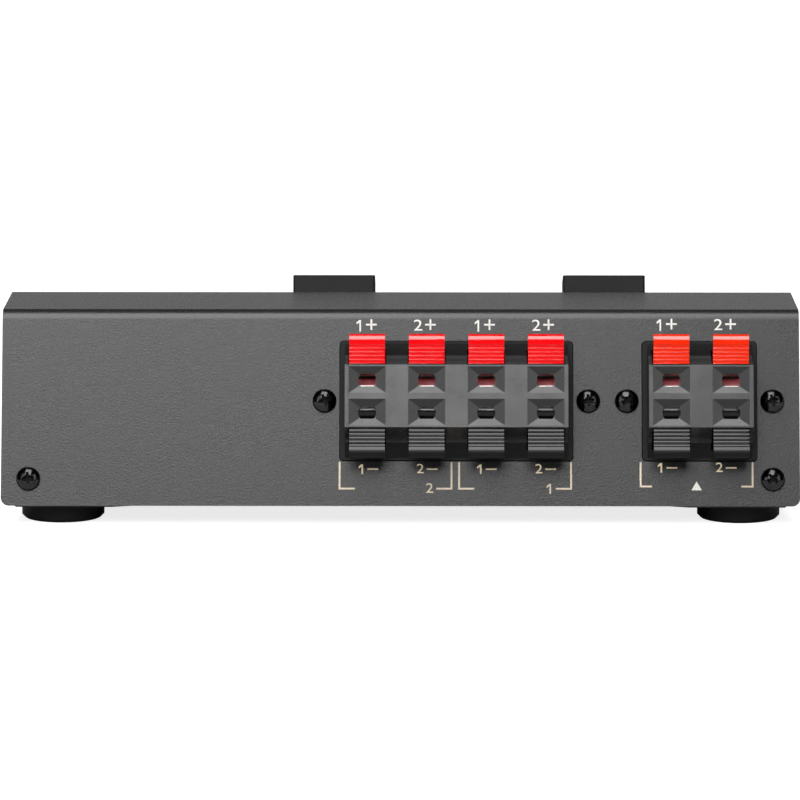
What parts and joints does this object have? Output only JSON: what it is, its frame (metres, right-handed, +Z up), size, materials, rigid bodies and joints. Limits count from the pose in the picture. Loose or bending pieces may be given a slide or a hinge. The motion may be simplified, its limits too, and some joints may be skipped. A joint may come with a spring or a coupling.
{
  "type": "speaker selector switch",
  "caption": "Low desk-shaped steel box with two push buttons on its sloping deck and sprung push terminals for speaker wires on its leaning rear panel.",
  "frame": {"origin": "on the table, under the middle of the whole outline", "axes": "+Z up, +Y towards the rear panel with the terminals, +X along the panel, to the right of someone who stands in front of the buttons"},
  "size_m": [0.2, 0.1275, 0.0551],
  "materials": {
    "cover_paint": "fine-textured charcoal powder coat on sheet steel",
    "tray_paint": "black powder coat on sheet steel",
    "foot_rubber": "moulded black rubber",
    "black_screw": "glossy black finish on steel",
    "zinc_screw": "bright zinc",
    "housing_plastic": "moulded black, glossy",
    "plate_plastic": "moulded black",
    "red_lever": "moulded red, glossy",
    "black_lever": "moulded black, satin gloss",
    "contact_metal": "tinned spring strip",
    "button_plastic": "moulded black, satin",
    "plunger_plastic": "moulded natural white",
    "switch_plastic": "moulded black",
    "board_laminate": "brown paper laminate",
    "standoff_brass": "turned brass",
    "red_insulation": "red vinyl insulation",
    "black_insulation": "black vinyl insulation"
  },
  "bodies": {
    "case": {"amplifier_back_plate": "plate_plastic", "amplifier_contact_black_1": "contact_metal", "amplifier_contact_black_2": "contact_metal", "amplifier_contact_red_1": "contact_metal", "amplifier_contact_red_2": "contact_metal", "amplifier_terminal_housing": "housing_plastic", "base_tray": "tray_paint", "black_wires": "black_insulation", "board_screws": "zinc_screw", "board_standoffs": "standoff_brass", "case_screws": "black_screw", "foot_front_left": "foot_rubber", "foot_front_right": "foot_rubber", "foot_rear_left": "foot_rubber", "foot_rear_right": "foot_rubber", "foot_screws": "black_screw", "push_switch_1": "switch_plastic", "push_switch_2": "switch_plastic", "red_wires": "red_insulation", "speaker_back_plate": "plate_plastic", "speaker_contact_black_1": "contact_metal", "speaker_contact_black_2": "contact_metal", "speaker_contact_black_3": "contact_metal", "speaker_contact_black_4": "contact_metal", "speaker_contact_red_1": "contact_metal", "speaker_contact_red_2": "contact_metal", "speaker_contact_red_3": "contact_metal", "speaker_contact_red_4": "contact_metal", "speaker_terminal_housing": "housing_plastic", "switch_board": "board_laminate", "terminal_screws": "black_screw", "top_cover": "cover_paint"},
    "amplifier_lever_black_1_body": {"amplifier_lever_black_1": "black_lever"},
    "amplifier_lever_black_2_body": {"amplifier_lever_black_2": "black_lever"},
    "amplifier_lever_red_1_body": {"amplifier_lever_red_1": "red_lever"},
    "amplifier_lever_red_2_body": {"amplifier_lever_red_2": "red_lever"},
    "speaker_lever_black_1_body": {"speaker_lever_black_1": "black_lever"},
    "speaker_lever_black_2_body": {"speaker_lever_black_2": "black_lever"},
    "speaker_lever_black_3_body": {"speaker_lever_black_3": "black_lever"},
    "speaker_lever_black_4_body": {"speaker_lever_black_4": "black_lever"},
    "speaker_lever_red_1_body": {"speaker_lever_red_1": "red_lever"},
    "speaker_lever_red_2_body": {"speaker_lever_red_2": "red_lever"},
    "speaker_lever_red_3_body": {"speaker_lever_red_3": "red_lever"},
    "speaker_lever_red_4_body": {"speaker_lever_red_4": "red_lever"},
    "button_1": {"button_cap_1": "button_plastic", "switch_plunger_1": "plunger_plastic"},
    "button_2": {"button_cap_2": "button_plastic", "switch_plunger_2": "plunger_plastic"}
  },
  "joints": [
    {"name": "amplifier_push_black_1", "type": "hinge", "parent": "case", "child": "amplifier_lever_black_1_body", "pos_m": [-0.06749, 0.05642, 0.02558], "axis": [-1, 0, 0], "range_deg": [0, 16], "stiffness_Nm_per_rad": 0.01, "springref_deg": -17.19, "deforming": ["amplifier_contact_black_1"]},
    {"name": "amplifier_push_black_2", "type": "hinge", "parent": "case", "child": "amplifier_lever_black_2_body", "pos_m": [-0.08231, 0.05642, 0.02558], "axis": [-1, 0, 0], "range_deg": [0, 16], "stiffness_Nm_per_rad": 0.01, "springref_deg": -17.19, "deforming": ["amplifier_contact_black_2"]},
    {"name": "amplifier_push_red_1", "type": "hinge", "parent": "case", "child": "amplifier_lever_red_1_body", "pos_m": [-0.06749, 0.05233, 0.03939], "axis": [1, 0, 0], "range_deg": [0, 16], "stiffness_Nm_per_rad": 0.01, "springref_deg": -17.19, "deforming": ["amplifier_contact_red_1"]},
    {"name": "amplifier_push_red_2", "type": "hinge", "parent": "case", "child": "amplifier_lever_red_2_body", "pos_m": [-0.08231, 0.05233, 0.03939], "axis": [1, 0, 0], "range_deg": [0, 16], "stiffness_Nm_per_rad": 0.01, "springref_deg": -17.19, "deforming": ["amplifier_contact_red_2"]},
    {"name": "speaker_push_black_1", "type": "hinge", "parent": "case", "child": "speaker_lever_black_1_body", "pos_m": [0.00825, 0.05642, 0.02558], "axis": [-1, 0, 0], "range_deg": [0, 16], "stiffness_Nm_per_rad": 0.01, "springref_deg": -17.19, "deforming": ["speaker_contact_black_1"]},
    {"name": "speaker_push_black_2", "type": "hinge", "parent": "case", "child": "speaker_lever_black_2_body", "pos_m": [-0.00658, 0.05642, 0.02558], "axis": [-1, 0, 0], "range_deg": [0, 16], "stiffness_Nm_per_rad": 0.01, "springref_deg": -17.19, "deforming": ["speaker_contact_black_2"]},
    {"name": "speaker_push_black_3", "type": "hinge", "parent": "case", "child": "speaker_lever_black_3_body", "pos_m": [-0.02142, 0.05642, 0.02558], "axis": [-1, 0, 0], "range_deg": [0, 16], "stiffness_Nm_per_rad": 0.01, "springref_deg": -17.19, "deforming": ["speaker_contact_black_3"]},
    {"name": "speaker_push_black_4", "type": "hinge", "parent": "case", "child": "speaker_lever_black_4_body", "pos_m": [-0.03624, 0.05642, 0.02558], "axis": [-1, 0, 0], "range_deg": [0, 16], "stiffness_Nm_per_rad": 0.01, "springref_deg": -17.19, "deforming": ["speaker_contact_black_4"]},
    {"name": "speaker_push_red_1", "type": "hinge", "parent": "case", "child": "speaker_lever_red_1_body", "pos_m": [0.00825, 0.05233, 0.03939], "axis": [1, 0, 0], "range_deg": [0, 16], "stiffness_Nm_per_rad": 0.01, "springref_deg": -17.19, "deforming": ["speaker_contact_red_1"]},
    {"name": "speaker_push_red_2", "type": "hinge", "parent": "case", "child": "speaker_lever_red_2_body", "pos_m": [-0.00658, 0.05233, 0.03939], "axis": [1, 0, 0], "range_deg": [0, 16], "stiffness_Nm_per_rad": 0.01, "springref_deg": -17.19, "deforming": ["speaker_contact_red_2"]},
    {"name": "speaker_push_red_3", "type": "hinge", "parent": "case", "child": "speaker_lever_red_3_body", "pos_m": [-0.02142, 0.05233, 0.03939], "axis": [1, 0, 0], "range_deg": [0, 16], "stiffness_Nm_per_rad": 0.01, "springref_deg": -17.19, "deforming": ["speaker_contact_red_3"]},
    {"name": "speaker_push_red_4", "type": "hinge", "parent": "case", "child": "speaker_lever_red_4_body", "pos_m": [-0.03624, 0.05233, 0.03939], "axis": [1, 0, 0], "range_deg": [0, 16], "stiffness_Nm_per_rad": 0.01, "springref_deg": -17.19, "deforming": ["speaker_contact_red_4"]},
    {"name": "button_1_press", "type": "slide", "parent": "case", "child": "button_1", "axis": [0, 0.3244, -0.9459], "range_m": [0, 0.004], "stiffness_N_per_m": 300, "springref_m": -0.002},
    {"name": "button_2_press", "type": "slide", "parent": "case", "child": "button_2", "axis": [0, 0.3244, -0.9459], "range_m": [0, 0.004], "stiffness_N_per_m": 300, "springref_m": -0.002}
  ]
}
